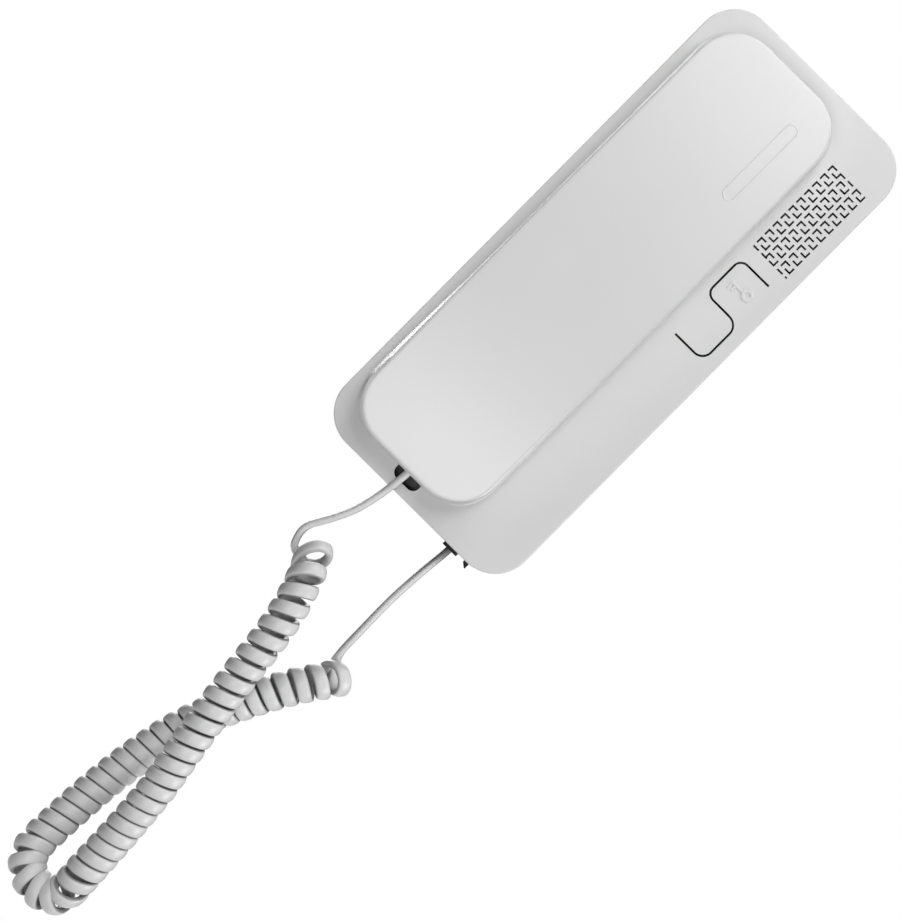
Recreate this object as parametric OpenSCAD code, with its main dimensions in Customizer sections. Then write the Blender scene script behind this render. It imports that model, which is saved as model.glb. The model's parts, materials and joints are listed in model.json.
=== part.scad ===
// Slimline wall phone: an audio door-entry handset that hangs on a flat wall base.
// Frame: the origin is midway between the two wall screws, on the wall plane.
// X points right, Y points into the wall and Z points up.
// A depth is a distance in front of the wall, so depth d lies at y = -d.

/* [Base] */
// Width of the wall base
base_w = 85; // [84:1:90]
// Height of the wall base
base_h = 200; // [200:1:206]
// Depth of the wall base, from the wall to its front face
base_d = 24; // [24:0.5:28]
// Corner radius of the base's outline
base_r = 14; // [12:1:16]
// Wall thickness of the base cover
cover_wall = 2; // [1.8:0.1:2.2]
// Rounding of the cover's front edge
cover_edge = 0.6; // [0.4:0.1:1.5]

/* [Wall mounting] */
// Distance between the two wall screws
screw_spacing = 130; // [126:1:134]
// Diameter of the wall screw holes
screw_hole = 4.5; // [4:0.1:5]
// Diameter of the cable entry in the back plate
cable_hole = 14; // [10:1:16]

/* [Handset] */
// Width of the handset
handset_w = 56.3; // [55:0.1:57]
// Height of the handset
handset_h = 186; // [184:1:186]
// Thickness of the handset
handset_t = 15.6; // [15:0.1:17]
// Corner radius of the handset's outline
handset_r = 16.8; // [14:0.1:18]
// Wall thickness of the handset shells
handset_wall = 1.8; // [1.6:0.1:2]
// Rounding of the handset's front edge
handset_edge = 1.6; // [1:0.1:3]
// Gap between the hung handset and the cover
handset_gap = 0.4; // [0.3:0.1:0.6]

/* [Hanging pegs] */
// Upward slope of the pegs that carry the handset
peg_tilt = 10; // [5:1:12]
// Width of a peg
peg_w = 14; // [10:1:16]
// Thickness of a peg
peg_t = 5; // [4:0.5:6]
// Length of a peg in front of the cover
peg_len = 6; // [5:0.5:7]

/* [Keys and grille] */
// Width of the slot around the tongue keys
key_slot = 0.7; // [0.5:0.05:0.8]
// Height of the raised key picture
icon_rise = 0.4; // [0.2:0.05:0.5]
// Grid unit of the grille's angled slots
grille_unit = 1.885; // [1.8:0.005:1.9]
// Width of a grille slot
grille_slot = 0.65; // [0.5:0.05:0.7]

/* [Cord] */
// Width of the flat cord
cord_w = 5; // [4:0.5:5.5]
// Thickness of the flat cord
cord_t = 2.6; // [2:0.1:3]
// Outer diameter of the curly part
coil_d = 12.8; // [11:0.1:12.8]

/* [Hidden] */
$fn = 64;

// Clearances: between nested shells, between parts that move apart, and past a cut face
nest_gap = 0.3;
move_gap = 0.3;
past = 1;

// Colours
white = [0.87, 0.87, 0.86];
handset_white = [0.91, 0.91, 0.9];
cord_white = [0.84, 0.84, 0.83];
black = [0.08, 0.08, 0.08];
steel = [0.68, 0.69, 0.71];
board_green = [0.1, 0.36, 0.2];
terminal_green = [0.2, 0.5, 0.3];

// Depth stations in the base
plate_t = 2.5;
board_back = 9.2;
board_front = 10.8;
cover_inside = base_d - cover_wall;
switch_front = 14.3;
key_plunger_tip = 17.7;
key_post_tip = key_plunger_tip + move_gap;

// Circuit board: main field and the narrow leg down to the cord and the volume switch
board_left = -32;
board_right = 38;
board_top = 42;
board_low = -38;
leg_left = 12;
leg_right = 34.5;
leg_low = -95;
board_screw_spots = [[-28, 38], [34, 38], [-28, -34], [23, -50]];

// Terminal block for the building's wires
terminal_x = -8;
terminal_z = -31;
terminal_pitch = 5.08;
terminal_count = 5;

// Cable entry, cover screw and cover hooks
cable_z = -48;
cover_screw_x = -20;
cover_screw_depth = 10;
hook_x = 20;

// Handset: placed left of the base's middle
handset_x = -9.8;
handset_z = 0.5;
handset_back = base_d + handset_gap;
handset_split = handset_back + 6.6;
handset_front = handset_back + handset_t;
handset_low = handset_z - handset_h / 2;
handset_inside = handset_front - handset_wall;
handset_rear_inside = handset_back + handset_wall;
peg_heights = [36, -40];
receiver_z = 66;
microphone_z = -72;
handset_screw_heights = [86, -56];
handset_cord_x = -6.6;
handset_cord_depth = 30;

// Hook switch under the handset
plunger_z = 8;
plunger_r = 3;
pin_r = 1.3;
hook_flange_depth = 17.7;

// Tongue keys: root line, free edge, middle height, height and corner radius
upper_root = 35.6;
upper_free = 22;
upper_z = 29.4;
upper_h = 17.2;
upper_r = 3.55;
lower_root = 24.4;
lower_free = 37.8;
lower_z = 12.6;
lower_h = 17.6;
lower_r = 4.4;
post_reach = 10;

// Grille: upper left corner of its grid, its rows and columns, a slot's arm, the place of a cell's
// second slot, and the single dashes that end the columns, all but the corner in grid units
grille_x = 22.3;
grille_z = 81.55;
grille_rows = 10;
grille_columns = 3;
grille_arm = 1.17;
grille_pair = [2.03, -1.02];
grille_dashes = [[2.03, 3, 0], [4, 5, 0], [0.1, 1.1, 20], [2.1, 3.15, 20], [6.1, 7.1, 20], [8.03, 8.15, 20]];

// Call speaker
speaker_x = 23.5;
speaker_z = 62.85;
speaker_r = 16;

// Cord well under the handset's lower end
well_x = -5.5;
well_z = -90.2;
well_w = 10.6;
well_h = 12.4;
well_r = 2.7;
well_depth = 14;

// Cord exit and volume slider in the lower edge of the base
exit_x = 21.65;
exit_depth = 16;
slider_x = 28.85;
slider_depth = 14;
slider_w = 2.1;
slider_travel = 2;

// Route of the tail from the base to the curly part
base_tail_route = [
    [21.6, -16, -96], [21.6, -16, -101], [21.1, -16, -106], [20.5, -15.8, -112], [20, -15.4, -119],
    [19.6, -14.8, -126], [19.6, -14.4, -133], [19.7, -13.4, -140], [19.8, -11.8, -146.5],
    [20, -9.8, -151.5], [21.6, -7.8, -156.5]
];
// Route of the curly part's middle line, from the base end round the low bend to the handset end
coil_route = [
    [27, -10.2, -157], [24.7, -10.8, -159.9], [21.7, -10.8, -164.5], [18, -9.9, -169.9],
    [13.9, -9.1, -176.9], [9.5, -8.4, -185.2], [5, -8, -194.5], [1.3, -7.9, -203.6], [-1.8, -8, -214],
    [-4.4, -8.4, -227], [-6.1, -9.2, -239], [-7.2, -10.4, -252], [-7.9, -12, -265], [-7.6, -13.2, -272.4],
    [-5.3, -14.2, -277.6], [-1.4, -15, -280.1], [2.9, -15.6, -280.9], [7, -16.2, -280],
    [9.9, -16.8, -277], [10.9, -17.5, -272.4], [10.5, -18.3, -265], [10, -19.5, -252],
    [9.2, -20.6, -239], [8.1, -21.6, -226.5], [6.2, -22.3, -215], [4.2, -22.8, -203],
    [2.3, -23.2, -190], [0.7, -23.8, -177], [-0.6, -24.4, -165.3], [-2.9, -25.2, -152.7],
    [-4.7, -25.6, -146.6], [-6.7, -25.4, -140.9], [-9.2, -24.6, -135.4], [-11, -23.8, -132.3]
];
// Route of the tail from the handset to the curly part
handset_tail_route = [
    [-6.6, -30, -92.9], [-7, -30, -97], [-7.5, -30, -101], [-8.6, -29.9, -107], [-10.4, -29.6, -113.6],
    [-13.2, -29, -119.8], [-15.9, -28.4, -124.7], [-17.9, -27.8, -128.2], [-18.3, -27.2, -132],
    [-17.2, -26, -135.6], [-14.5, -23.6, -137.6]
];

// ---------- Shapes used by several parts ----------

// Stands an outline drawn in X and Z between two depths in front of the wall
module slab(near, far) {
    translate([0, -near, 0])
        rotate([90, 0, 0])
            linear_extrude(far - near)
                children();
}

// Stands an outline drawn in X and Y between two heights
module column(low, high) {
    translate([0, 0, low])
        linear_extrude(high - low)
            children();
}

module rounded_rect(w, h, r) {
    square([w - 2 * r, h], center = true);
    square([w, h - 2 * r], center = true);
    for (x = [-1, 1], z = [-1, 1])
        translate([x * (w / 2 - r), z * (h / 2 - r)])
            circle(r);
}

// Section across a slab whose two front edges are rounded
module soft_section(w, t, e) {
    translate([-w / 2, 0])
        square([w, t - e]);
    translate([-w / 2 + e, 0])
        square([w - 2 * e, t]);
    for (x = [-1, 1])
        translate([x * (w / 2 - e), t - e])
            circle(e);
}

// Section of a slab's corner, from the corner's centre outwards
module soft_corner(r, t, e) {
    square([r, t - e]);
    square([r - e, t]);
    translate([r - e, t - e])
        circle(e);
}

// Rounded rectangle of thickness t, with its front edge rounded by e, built up along +Z
module soft_block(w, h, t, r, e) {
    rotate([90, 0, 0])
        linear_extrude(h - 2 * r, center = true)
            soft_section(w, t, e);
    rotate([90, 0, 90])
        linear_extrude(w - 2 * r, center = true)
            soft_section(h, t, e);
    corners = [[1, 1], [-1, 1], [-1, -1], [1, -1]];
    for (q = [0:3])
        translate([corners[q].x * (w / 2 - r), corners[q].y * (h / 2 - r), 0])
            rotate([0, 0, 90 * q])
                rotate_extrude(angle = 90)
                    soft_corner(r, t, e);
}

// A soft block that faces away from the wall
module soft_front(w, h, near, far, r, e) {
    translate([0, -near, 0])
        rotate([90, 0, 0])
            soft_block(w, h, far - near, r, e);
}

// A soft block that faces the wall
module soft_back(w, h, near, far, r, e) {
    translate([0, -far, 0])
        rotate([-90, 0, 0])
            soft_block(w, h, far - near, r, e);
}

// Round bar or hole along Y between two depths
module rod(x, z, r, near, far) {
    translate([x, -near, z])
        rotate([90, 0, 0])
            cylinder(r = r, h = far - near);
}

// Upright round bar or hole
module post(x, depth, r, low, high) {
    translate([x, -depth, low])
        cylinder(r = r, h = high - low);
}

// Block between two depths and two heights, centred on x
module block(x, w, near, far, low, high) {
    translate([x - w / 2, -far, low])
        cube([w, far - near, high - low]);
}

function unit(v) = v / norm(v);

function heading(route, i) = unit(route[min(i + 1, len(route) - 1)] - route[max(i - 1, 0)]);

// One ring of an oval tube: half size a across the route and b along Y
function tube_ring(p, t, a, b, sides) =
    let (u = unit(cross([0, 1, 0], t)), v = cross(t, u))
    [for (k = [0:sides - 1]) p + a * cos(360 * k / sides) * u + b * sin(360 * k / sides) * v];

// Tube swept along a route that never runs along Y
module swept_tube(route, a, b, sides) {
    last = len(route) - 1;
    rings = [for (i = [0:last]) each tube_ring(route[i], heading(route, i), a, b, sides)];
    walls = [
        for (i = [0:last - 1], k = [0:sides - 1])
            let (p = i * sides + k, q = i * sides + (k + 1) % sides)
            each [[p, p + sides, q + sides], [p, q + sides, q]]
    ];
    start_cap = [for (k = [0:sides - 1]) k];
    end_cap = [for (k = [sides - 1:-1:0]) last * sides + k];
    polyhedron(rings, concat([start_cap], walls, [end_cap]));
}

// Pan-head screw along Y with its head towards the front
module board_screw(x, z, head_near, tip) {
    difference() {
        union() {
            rod(x, z, 2.5, head_near, head_near + 1.8);
            rod(x, z, 1.3, tip, head_near + past / 2);
        }
        for (turn = [0, 90])
            translate([x, -head_near - 1.8, z])
                rotate([0, turn, 0])
                    cube([3, 1.6, 0.7], center = true);
    }
}

// ---------- Wall plate ----------

module back_plate() {
    plate_inset = 2 * (cover_wall + nest_gap);
    color(white)
        difference() {
            union() {
                slab(0, plate_t)
                    rounded_rect(base_w - plate_inset, base_h - plate_inset, base_r - plate_inset / 2);
                for (z = [-1, 1])
                    rod(0, z * screw_spacing / 2, 5.5, plate_t - past, plate_t + 1);
                for (p = board_screw_spots)
                    rod(p.x, p.y, 3.2, plate_t - past, board_back);
                for (x = [-1, 1])
                    cover_hook(x * hook_x);
                block(cover_screw_x, 10, plate_t - past, 14, -base_h / 2 + 4.4, -base_h / 2 + 12);
            }
            for (z = [-1, 1])
                rod(0, z * screw_spacing / 2, screw_hole / 2, -past, plate_t + 1 + past);
            rod(0, cable_z, cable_hole / 2, -past, plate_t + past);
            for (p = board_screw_spots)
                rod(p.x, p.y, 1.35, plate_t, board_back + past);
            post(cover_screw_x, cover_screw_depth, 1.5, -base_h / 2 + 4.4 - past, -base_h / 2 + 11);
        }
}

// Hooks over the rib inside the cover's upper wall
module cover_hook(x) {
    top = base_h / 2;
    block(x, 6, plate_t - past, 7.3, top - 12, top - 9);
    block(x, 6, 5.3, 7.3, top - 12, top - 4.5);
}

// ---------- Cover of the base ----------

module front_cover() {
    color(white)
        difference() {
            union() {
                cover_shell();
                for (z = peg_heights)
                    peg(z, peg_w, peg_t, peg_len, 0);
                speaker_seat();
            }
            slab(cover_inside - past, base_d + past) {
                grille_outline();
                key_window_outline();
            }
            slab(cover_inside - past, base_d + past)
                translate([well_x, well_z])
                    rounded_rect(well_w, well_h, well_r);
            rod(handset_x, plunger_z, plunger_r + move_gap, cover_inside - past, base_d + past);
            lower_wall_cuts();
        }
}

// Open box with rounded front edges, hook ribs at the top and a thick spot at the cover screw
module cover_shell() {
    difference() {
        soft_front(base_w, base_h, 0, base_d, base_r, cover_edge);
        slab(-past, cover_inside)
            rounded_rect(base_w - 2 * cover_wall, base_h - 2 * cover_wall, base_r - cover_wall);
    }
    for (x = [-1, 1])
        block(x * hook_x, 8, 2.8, 5, base_h / 2 - 8, base_h / 2 - cover_wall / 2);
    block(cover_screw_x, 8, 5, 15, -base_h / 2 + cover_wall / 2, -base_h / 2 + 4);
}

// Peg that slopes up, away from the wall, grown on every side by grow
module peg(z, w, t, len, grow) {
    translate([handset_x, -base_d + 1, z])
        rotate([-peg_tilt, 0, 0])
            translate([-w / 2 - grow, -len - 1 - grow, -t / 2 - grow])
                cube([w + 2 * grow, len + 1 + 2 * grow, t + 2 * grow]);
}

module speaker_seat() {
    difference() {
        rod(speaker_x, speaker_z, speaker_r + 1.7, cover_inside - 3, cover_inside + past / 2);
        rod(speaker_x, speaker_z, speaker_r + nest_gap, cover_inside - 3 - past, cover_inside + past);
    }
}

module lower_wall_cuts() {
    low = -base_h / 2;
    column(low - past, low + cover_wall + past)
        translate([exit_x, -exit_depth])
            rounded_rect(5.4, 8.4, 1.5);
    block(slider_x, slider_w + 2 * slider_travel + 2 * move_gap,
        slider_depth - 1.3, slider_depth + 1.3, low - past, low + cover_wall + past);
    post(cover_screw_x, cover_screw_depth, 3.1, low - past, low + 2.2);
    post(cover_screw_x, cover_screw_depth, 1.7, low + 2, low + 4 + past);
}

// Two angled slots of the grille's lattice, one unit cell
module grille_cell() {
    arm = grille_arm * grille_unit;
    half = grille_slot / 2;
    translate([-half, -half])
        square([arm + half, grille_slot]);
    translate([-half, -arm])
        square([grille_slot, arm + half]);
    translate(grille_unit * grille_pair) {
        translate([-arm, -half])
            square([arm + half, grille_slot]);
        translate([-half, -half])
            square([grille_slot, arm + half]);
    }
}

module grille_outline() {
    translate([grille_x, grille_z]) {
        for (m = [0:grille_columns - 1], n = [0:grille_rows - 1])
            translate([3 * m * grille_unit, -(2 * n + m % 2) * grille_unit])
                grille_cell();
        for (dash = grille_dashes)
            translate([dash[0] * grille_unit - grille_slot / 2, -dash[2] * grille_unit - grille_slot / 2])
                square([(dash[1] - dash[0]) * grille_unit + grille_slot, grille_slot]);
    }
}

// Tongue outline with its root on x = 0 and its rounded free end at x = reach
module tongue_outline(reach, h, r) {
    translate([0, -h / 2])
        square([reach - r, h]);
    translate([reach / 2, -h / 2 + r])
        square([reach / 2, h - 2 * r]);
    for (z = [-1, 1])
        translate([reach - r, z * (h / 2 - r)])
            circle(r);
}

// Outline of the upper key, smaller than its window by inset on its free sides
module upper_outline(inset, root_gap) {
    translate([upper_root - root_gap, upper_z])
        mirror([1, 0])
            tongue_outline(upper_root - root_gap - upper_free - inset, upper_h - 2 * inset, upper_r - inset);
}

module lower_outline(inset, root_gap) {
    translate([lower_root + root_gap, lower_z])
        tongue_outline(lower_free - inset - lower_root - root_gap, lower_h - 2 * inset, lower_r - inset);
}

module key_window_outline() {
    upper_outline(0, 0);
    lower_outline(0, 0);
}

module cord_well() {
    color(black)
        translate([well_x, 0, well_z])
            difference() {
                slab(well_depth, cover_inside)
                    rounded_rect(well_w + 2, well_h + 2, well_r + 1);
                slab(well_depth + 1, cover_inside + past)
                    rounded_rect(well_w, well_h, well_r);
            }
}

module cover_screw() {
    low = -base_h / 2;
    color(steel)
        difference() {
            union() {
                post(cover_screw_x, cover_screw_depth, 2.8, low + 0.3, low + 2.2);
                post(cover_screw_x, cover_screw_depth, 1.45, low + 2, low + 10.5);
            }
            for (turn = [0, 90])
                translate([cover_screw_x, -cover_screw_depth, low + 0.3])
                    rotate([0, 0, turn])
                        cube([3.2, 0.8, 1.6], center = true);
        }
}

// ---------- Circuit board and what stands on it ----------

module main_board() {
    color(board_green)
        difference() {
            slab(board_back, board_front) {
                translate([board_left, board_low])
                    square([board_right - board_left, board_top - board_low]);
                translate([leg_left, leg_low])
                    square([leg_right - leg_left, board_low - leg_low + past]);
            }
            for (p = board_screw_spots)
                rod(p.x, p.y, 1.6, board_back - past, board_front + past);
        }
}

module board_screws() {
    color(steel)
        for (p = board_screw_spots)
            board_screw(p.x, p.y, board_front, 4);
}

function terminal_place(i) = terminal_x + (i - (terminal_count - 1) / 2) * terminal_pitch;

module terminal_block() {
    color(terminal_green)
        difference() {
            block(terminal_x, terminal_count * terminal_pitch, board_front, 20.3, terminal_z - 5, terminal_z + 5);
            for (i = [0:terminal_count - 1]) {
                rod(terminal_place(i), terminal_z, 1.9, 15, 20.3 + past);
                block(terminal_place(i), 3.4, 12, 14.6, terminal_z - 5 - past, terminal_z - 0.5);
            }
        }
}

module terminal_screws() {
    color(steel)
        for (i = [0:terminal_count - 1])
            difference() {
                rod(terminal_place(i), terminal_z, 1.7, 15, 18.6);
                block(terminal_place(i), 4, 18, 19, terminal_z - 0.3, terminal_z + 0.3);
            }
}

module board_capacitors() {
    color("dimgray") {
        rod(-22, 24, 4, board_front, 20.5);
        rod(-22, 10, 4, board_front, 20.5);
        rod(8, -14, 3.2, board_front, 18.8);
    }
}

module board_chip() {
    color(black)
        difference() {
            block(8, 6.4, board_front, 14.2, -4, 15.5);
            rod(8, 15.5, 0.9, 13.6, 14.2 + past);
        }
}

// ---------- Hook switch ----------

module hook_switch() {
    color(black)
        difference() {
            block(handset_x, 14, board_front, 14.8, plunger_z - 7, plunger_z + 7);
            rod(handset_x, plunger_z, 3.5, 12, 14.8 + past);
            rod(handset_x, plunger_z, pin_r + move_gap, board_front - past, 12 + past);
        }
}

module hook_plunger() {
    color(white)
        union() {
            rod(handset_x, plunger_z, plunger_r, hook_flange_depth - past, base_d + 0.1);
            rod(handset_x, plunger_z, 4.5, hook_flange_depth - 1.2, hook_flange_depth);
            rod(handset_x, plunger_z, pin_r, board_front + 0.5, hook_flange_depth);
        }
}

module hook_spring() {
    turns = 4;
    steps = 16;
    low = 12.4;
    rise = hook_flange_depth - 1.2 - 0.4 - low;
    helix = [
        for (i = [0:turns * steps])
            [
                handset_x + 2.5 * cos(360 * i / steps),
                -low - rise * i / (turns * steps),
                plunger_z + 2.5 * sin(360 * i / steps)
            ]
    ];
    color(steel)
        swept_tube(helix, 0.3, 0.3, 6);
}

// ---------- Tongue keys and their switches ----------

module door_release_key() {
    post_x = upper_root - post_reach;
    color(white)
        union() {
            slab(cover_inside, base_d) {
                upper_outline(key_slot, move_gap);
                upper_root_corner();
            }
            rod(post_x, upper_z, 2, key_post_tip, cover_inside + past / 2);
            slab(base_d - past / 2, base_d + icon_rise)
                key_icon();
        }
}

// The strip between the upper key's lower edge and the lower key's rounded corner
module upper_root_corner() {
    difference() {
        translate([upper_root - move_gap - 2.4, upper_z - upper_h / 2])
            square([2.4, 3]);
        lower_outline(0, 0);
    }
}

// Plain picture of a door key: a ring, a shaft and two teeth
module key_icon() {
    difference() {
        translate([32.6, 30.2])
            circle(2.2);
        translate([32.6, 30.2])
            circle(0.85);
    }
    translate([25.6, 29.5])
        square([5.2, 1.1]);
    for (x = [25.6, 27.1])
        translate([x, 27.7])
            square([0.8, 2]);
}

module service_key() {
    post_x = lower_root + post_reach;
    color(white)
        union() {
            slab(cover_inside, base_d)
                lower_outline(key_slot, move_gap);
            rod(post_x, lower_z, 2, key_post_tip, cover_inside + past / 2);
        }
}

module key_switch(x, z) {
    color(black)
        difference() {
            block(x, 6, board_front, switch_front, z - 3, z + 3);
            rod(x, z, 1.7 + move_gap, board_front + 0.4, switch_front + past);
        }
}

module key_plunger(x, z) {
    color("ivory")
        rod(x, z, 1.7, 12.5, key_plunger_tip);
}

module door_key_switch() {
    key_switch(upper_root - post_reach, upper_z);
}

module door_key_plunger() {
    key_plunger(upper_root - post_reach, upper_z);
}

module service_key_switch() {
    key_switch(lower_root + post_reach, lower_z);
}

module service_key_plunger() {
    key_plunger(lower_root + post_reach, lower_z);
}

// ---------- Volume slider ----------

module volume_switch() {
    low = -base_h / 2;
    color(steel)
        difference() {
            block(slider_x, 7.7, board_front, 16.8, low + 3.6, low + 9.5);
            block(slider_x, slider_w + 2 * slider_travel + 2 * move_gap,
                slider_depth - 1.3, slider_depth + 1.3, low + 3.6 - past, low + 8);
            block(slider_x, slider_w + 2 * slider_travel + 2 * move_gap,
                slider_depth - 2.2, slider_depth + 2.2, low + 5.4, low + 8);
        }
}

// Carriage in the switch, and a stem whose nub ends in a point at its lower right
module volume_slider() {
    low = -base_h / 2;
    left = slider_x - slider_w / 2;
    right = slider_x + slider_w / 2;
    color(black)
        union() {
            slab(slider_depth - 1, slider_depth + 1)
                polygon([
                    [left, low + 7.5], [right, low + 7.5], [right, low - 2.1],
                    [right - 0.5, low - 2.1], [left, low - 0.8]
                ]);
            block(slider_x, slider_w, slider_depth - 1.9, slider_depth + 1.9, low + 5.8, low + 7.5);
        }
}

// ---------- Call speaker ----------

module speaker_frame() {
    color(steel)
        difference() {
            union() {
                rod(speaker_x, speaker_z, speaker_r, cover_inside - 1.4, cover_inside);
                rod(speaker_x, speaker_z, 13, cover_inside - 6, cover_inside - 1);
            }
            rod(speaker_x, speaker_z, 12.3, cover_inside - 5.2, cover_inside + past);
            rod(speaker_x, speaker_z, 5, cover_inside - 6 - past, cover_inside);
        }
}

// Shallow dished cone with a rim that rests on the frame's inner step
module speaker_cone() {
    color("dimgray")
        translate([speaker_x, -cover_inside + 5.2, speaker_z])
            rotate([90, 0, 0])
                rotate_extrude()
                    polygon([[0, 1.6], [4.5, 1.2], [5.4, 0.6], [12, 3.4], [12.2, 3.4], [12.2, 3.8], [11.9, 3.8],
                        [5.3, 1], [4.6, 1.6], [0, 2]]);
}

module speaker_magnet() {
    color(steel)
        union() {
            rod(speaker_x, speaker_z, 9, cover_inside - 10, cover_inside - 6);
            rod(speaker_x, speaker_z, 4.6, cover_inside - 6.5, cover_inside - 4.8);
        }
}

module speaker_header() {
    color("ivory")
        block(speaker_x, 6, board_front, 16, 36, 41);
}

module speaker_leads() {
    rim_z = speaker_z - 13.05;
    color("firebrick")
        for (x = [-1, 1])
            swept_tube([
                [speaker_x + x, -18.2, rim_z], [speaker_x + x, -18, 48.4], [speaker_x + x, -17.2, 46.6],
                [speaker_x + x, -16, 44.8], [speaker_x + x, -14.6, 43.2], [speaker_x + x, -13.9, 42],
                [speaker_x + x, -13.9, 41]
            ], 0.5, 0.5, 8);
}

// ---------- Cord entry into the base ----------

// Grommet with an outer lip, a neck in the lower wall and an inner lip
module base_cord_grommet() {
    low = -base_h / 2;
    color(black)
        translate([exit_x, -exit_depth, 0])
            difference() {
                union() {
                    column(low - 1.2, low)
                        rounded_rect(6.2, 9.2, 1.4);
                    column(low - 0.5, low + cover_wall + 0.5)
                        rounded_rect(5.2, 8.2, 1.4);
                    column(low + cover_wall, low + cover_wall + 1)
                        rounded_rect(6.4, 9.4, 1.4);
                    column(low + cover_wall + 0.5, low + 5)
                        rounded_rect(5, 7.6, 1.4);
                }
                column(low - 1.2 - past, low + 5 + past)
                    rounded_rect(cord_t + 0.2, cord_w + 0.2, 1.3);
            }
}

module cord_header() {
    color("ivory")
        block(exit_x, 5.2, board_front, 19.4, -86, -79);
}

module cord_leads() {
    color("firebrick")
        for (i = [-1.5, -0.5, 0.5, 1.5])
            post(exit_x, exit_depth + i * 1.15, 0.5, -95.9, -86);
}

// ---------- Handset ----------

// The handset's outline, made smaller by inset all round
module handset_outline(inset) {
    translate([handset_x, handset_z])
        rounded_rect(handset_w - 2 * inset, handset_h - 2 * inset, handset_r - inset);
}

// Cut in the shells' lower wall that holds the cord grommet
module handset_cord_cut(grow) {
    block(handset_cord_x, 6.4 + 2 * grow, handset_cord_depth - 3.5 - grow, handset_cord_depth + 3.5 + grow,
        handset_low - past, handset_low + handset_wall + 2);
}

module handset_front_shell() {
    color(handset_white)
        difference() {
            union() {
                difference() {
                    translate([handset_x, 0, handset_z])
                        soft_front(handset_w, handset_h, handset_split, handset_front, handset_r, handset_edge);
                    slab(handset_split - past, handset_inside)
                        handset_outline(handset_wall + 1);
                }
                difference() {
                    slab(handset_split - 1.5, handset_split + past)
                        handset_outline(handset_wall + 0.2);
                    slab(handset_split - 1.5 - past, handset_split + 2 * past)
                        handset_outline(handset_wall + 1);
                }
                for (z = handset_screw_heights)
                    rod(handset_x, z, 3.2, handset_rear_inside + 1.6, handset_inside + past / 2);
                raised_pill();
            }
            for (z = handset_screw_heights)
                rod(handset_x, z, 1.35, handset_rear_inside + 1.6 - past, handset_rear_inside + 9);
            handset_cord_cut(0);
        }
}

// Plain raised outline on the handset's upper right
module raised_pill() {
    slab(handset_front - past / 2, handset_front + 0.2)
        translate([4.2, 63.6])
            difference() {
                rounded_rect(5, 34, 2.4);
                rounded_rect(3.8, 32.8, 1.8);
            }
}

module handset_rear_shell() {
    color(handset_white)
        difference() {
            union() {
                difference() {
                    translate([handset_x, 0, handset_z])
                        soft_back(handset_w, handset_h, handset_back, handset_split, handset_r, 1.4);
                    slab(handset_rear_inside, handset_split + past)
                        handset_outline(handset_wall);
                }
                for (z = handset_screw_heights)
                    rod(handset_x, z, 4, handset_rear_inside - past / 2, handset_rear_inside + 1.4);
                for (z = peg_heights)
                    block(handset_x, peg_w + 3.2, handset_rear_inside - past / 2, handset_rear_inside + 6.4,
                        z - 4.6, z + 6.2);
                receiver_ring();
            }
            for (z = peg_heights)
                peg(z, peg_w, peg_t, peg_len, 0.4);
            for (z = handset_screw_heights) {
                rod(handset_x, z, 2.9, handset_back - past, handset_back + 2.2);
                rod(handset_x, z, 1.6, handset_back, handset_rear_inside + 1.4 + past);
            }
            ear_holes();
            mouth_holes();
            handset_cord_cut(0);
        }
}

module receiver_ring() {
    difference() {
        rod(handset_x, receiver_z, 16.7, handset_rear_inside - past / 2, handset_rear_inside + 4);
        rod(handset_x, receiver_z, 15.3, handset_rear_inside - past, handset_rear_inside + 4 + past);
    }
}

module ear_holes() {
    rod(handset_x, receiver_z, 1, handset_back - past, handset_rear_inside + past);
    for (ring = [1, 2], k = [0:6 * ring - 1])
        rod(handset_x + 4.2 * ring * cos(60 * k / ring), receiver_z + 4.2 * ring * sin(60 * k / ring), 1,
            handset_back - past, handset_rear_inside + past);
}

module mouth_holes() {
    for (x = [-2.6, 0, 2.6])
        rod(handset_x + x, microphone_z, 0.8, handset_back - past, handset_rear_inside + past);
}

module handset_screws() {
    color(steel)
        for (z = handset_screw_heights)
            difference() {
                union() {
                    rod(handset_x, z, 2.6, handset_back + 0.4, handset_back + 2.2);
                    rod(handset_x, z, 1.3, handset_back + 2, handset_back + 10);
                }
                for (turn = [0, 90])
                    translate([handset_x, -handset_back - 0.4, z])
                        rotate([0, turn, 0])
                            cube([3, 1.6, 0.7], center = true);
            }
}

module receiver_gasket() {
    color("dimgray")
        difference() {
            rod(handset_x, receiver_z, 15, handset_rear_inside, handset_rear_inside + 0.8);
            rod(handset_x, receiver_z, 11, handset_rear_inside - past, handset_rear_inside + 0.8 + past);
        }
}

module receiver_capsule() {
    near = handset_rear_inside + 0.8;
    color(steel)
        union() {
            rod(handset_x, receiver_z, 15, near, near + 3.4);
            rod(handset_x, receiver_z, 12, near + 3, near + 6.2);
            rod(handset_x, receiver_z, 7, near + 6, near + 8.4);
        }
}

module microphone_boot() {
    color(black)
        difference() {
            rod(handset_x, microphone_z, 6.5, handset_rear_inside, handset_rear_inside + 6);
            rod(handset_x, microphone_z, 4.9, handset_rear_inside + 0.8, handset_rear_inside + 6 + past);
            rod(handset_x, microphone_z, 3.6, handset_rear_inside - past, handset_rear_inside + 2);
        }
}

module microphone_capsule() {
    color(steel)
        rod(handset_x, microphone_z, 4.85, handset_rear_inside + 0.8, handset_rear_inside + 6.4);
}

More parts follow.
